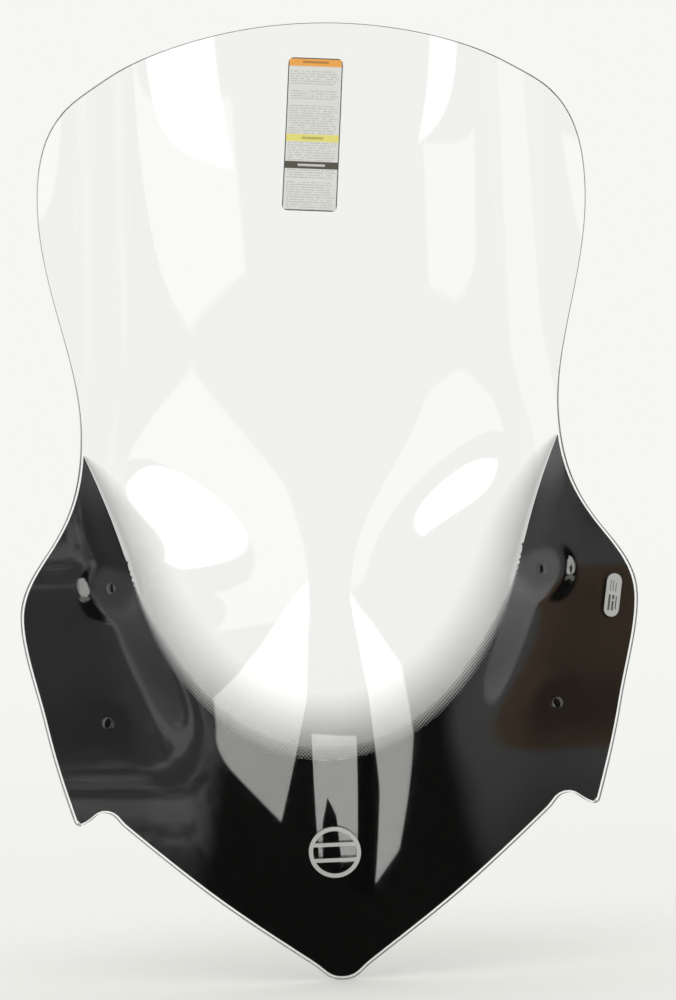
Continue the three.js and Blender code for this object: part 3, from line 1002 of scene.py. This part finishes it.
def studio_world():
    world = bpy.data.worlds.new("studio")
    bpy.context.scene.world = world
    world.use_nodes = True
    world.node_tree.nodes.clear()
    nodes = Nodes(world.node_tree)
    way = nodes.add("ShaderNodeTexCoord").outputs["Generated"]
    part = nodes.add("ShaderNodeSeparateXYZ", {"Vector": way})
    ahead, aside, above = part.outputs["Y"], part.outputs["X"], part.outputs["Z"]
    sweep = nodes.mix(nodes.ramp(above, *SWEEP_HEIGHTS), *SWEEP)
    # what the gloss shows: a dim room in front, greyer to the sides, and the sweep behind
    shelves = nodes.mix(nodes.ramp(above, *SHELF_HEIGHTS), *SHELVES)
    room = nodes.mix(nodes.ramp(aside, *SIDES), ROOM, shelves)
    curtain = nodes.ramp(nodes.noise(6.0, 4.0, way), *CURTAIN_FOLDS)
    room = nodes.mix(nodes.ramp(aside, -SIDES[0], -SIDES[1]), room, nodes.grey(curtain))
    low = nodes.ramp(aside, *BACKDROP_LOW)
    high = nodes.ramp(aside, *BACKDROP_HIGH)
    backdrop = nodes.mix(nodes.ramp(above, *BACKDROP_HEIGHTS), nodes.grey(low), nodes.grey(high))
    gloss = nodes.mix(nodes.ramp(ahead, *BACKDROP_STARTS), room, backdrop)
    for corners, bright in PANELS:
        glow = (bright, bright, bright * PANEL_BLUE, 1)
        gloss = nodes.mix(panel_mask(nodes, way, corners), gloss, glow)
    path = nodes.add("ShaderNodeLightPath")
    seen = nodes.math("LESS_THAN", path.outputs["Glossy Depth"], 0.5)
    colour = nodes.mix(seen, gloss, sweep)
    lift = nodes.ramp(path.outputs["Is Transmission Ray"], 0.0, 1.0, 1.0, SWEEP_LIFT)
    back = nodes.add("ShaderNodeBackground", {"Color": colour, "Strength": lift})
    out = nodes.add("ShaderNodeOutputWorld")
    nodes.link(back.outputs[0], out.inputs["Surface"])


def floor_material():
    """A pale floor that fades out round the part."""
    material, nodes, shader = surface("pale_floor", Base_Color=FLOOR_TINT, Roughness=0.9)
    place = nodes.add("ShaderNodeTexCoord").outputs["Object"]
    reach = nodes.add("ShaderNodeVectorMath", {0: place}, operation="LENGTH").outputs["Value"]
    cloud = nodes.ramp(nodes.noise(9.0), 0.2, 0.8, 0.92, 1.0)
    # left out of the ink's gloss, where it would hide the dim room in front
    glossy_depth = nodes.add("ShaderNodeLightPath").outputs["Glossy Depth"]
    seen = nodes.math("LESS_THAN", glossy_depth, 0.5)
    nodes.link(nodes.product(nodes.ramp(reach, *FLOOR_FADE), cloud, seen), shader.inputs["Alpha"])
    return material


class WINDSHIELD_OT_stage(bpy.types.Operator):
    """Build the floor, the studio's light and the camera"""

    bl_idname = "windshield.stage"
    bl_label = "Stage"

    def execute(self, context):
        bm = bmesh.new()
        bmesh.ops.create_circle(bm, segments=ROUND_SIDES, radius=FLOOR_RADIUS, cap_ends=True)
        mesh = bpy.data.meshes.new("floor")
        bm.to_mesh(mesh)
        bm.free()
        mesh.materials.append(floor_material())
        floor = bpy.data.objects.new("floor", mesh)
        floor.visible_glossy = False
        context.collection.objects.link(floor)
        studio_world()
        yaw, pitch, roll = (math.radians(a) for a in (CAMERA_YAW, CAMERA_PITCH, CAMERA_ROLL))
        right = Vector((math.cos(yaw), -math.sin(yaw), 0))
        level = Vector((math.sin(yaw), math.cos(yaw), 0))
        forward = level * math.cos(pitch) + Vector((0, 0, math.sin(pitch)))
        up = right.cross(forward)
        turned_right = right * math.cos(roll) - up * math.sin(roll)
        turned_up = right * math.sin(roll) + up * math.cos(roll)
        camera = bpy.data.objects.new("camera", bpy.data.cameras.new("camera"))
        camera.data.lens = CAMERA_LENS
        camera.location = CAMERA_PLACE
        camera.rotation_euler = Matrix((turned_right, turned_up, -forward)).transposed().to_euler()
        context.collection.objects.link(camera)
        context.scene.camera = camera
        context.scene.view_settings.view_transform = "Standard"
        return {"FINISHED"}


class WINDSHIELD_PT_panel(bpy.types.Panel):
    """Sidebar panel that lists the pieces"""

    bl_idname = "WINDSHIELD_PT_panel"
    bl_label = "Windshield Screen"
    bl_space_type = "VIEW_3D"
    bl_region_type = "UI"
    bl_category = "Windshield"

    def draw(self, context):
        for group in (context.scene.windshield_sizes, context.scene.windshield_colours):
            box = self.layout.box()
            for name in group.__annotations__:
                box.prop(group, name)
        for operator in OPERATORS:
            self.layout.operator(operator.bl_idname)


OPERATORS = (
    WINDSHIELD_OT_sheet,
    WINDSHIELD_OT_print,
    WINDSHIELD_OT_care_label,
    WINDSHIELD_OT_approval_label,
    WINDSHIELD_OT_emblem,
    WINDSHIELD_OT_stage,
)
CLASSES = (WindshieldSizes, WindshieldColours, *OPERATORS, WINDSHIELD_PT_panel)


def register():
    for item in CLASSES:
        bpy.utils.register_class(item)
    bpy.types.Scene.windshield_sizes = bpy.props.PointerProperty(type=WindshieldSizes)
    bpy.types.Scene.windshield_colours = bpy.props.PointerProperty(type=WindshieldColours)


def unregister():
    del bpy.types.Scene.windshield_colours
    del bpy.types.Scene.windshield_sizes
    for item in reversed(CLASSES):
        bpy.utils.unregister_class(item)


def main():
    register()
    for operator in OPERATORS:
        space, name = operator.bl_idname.split(".")
        getattr(getattr(bpy.ops, space), name)()


if __name__ == "__main__":
    main()
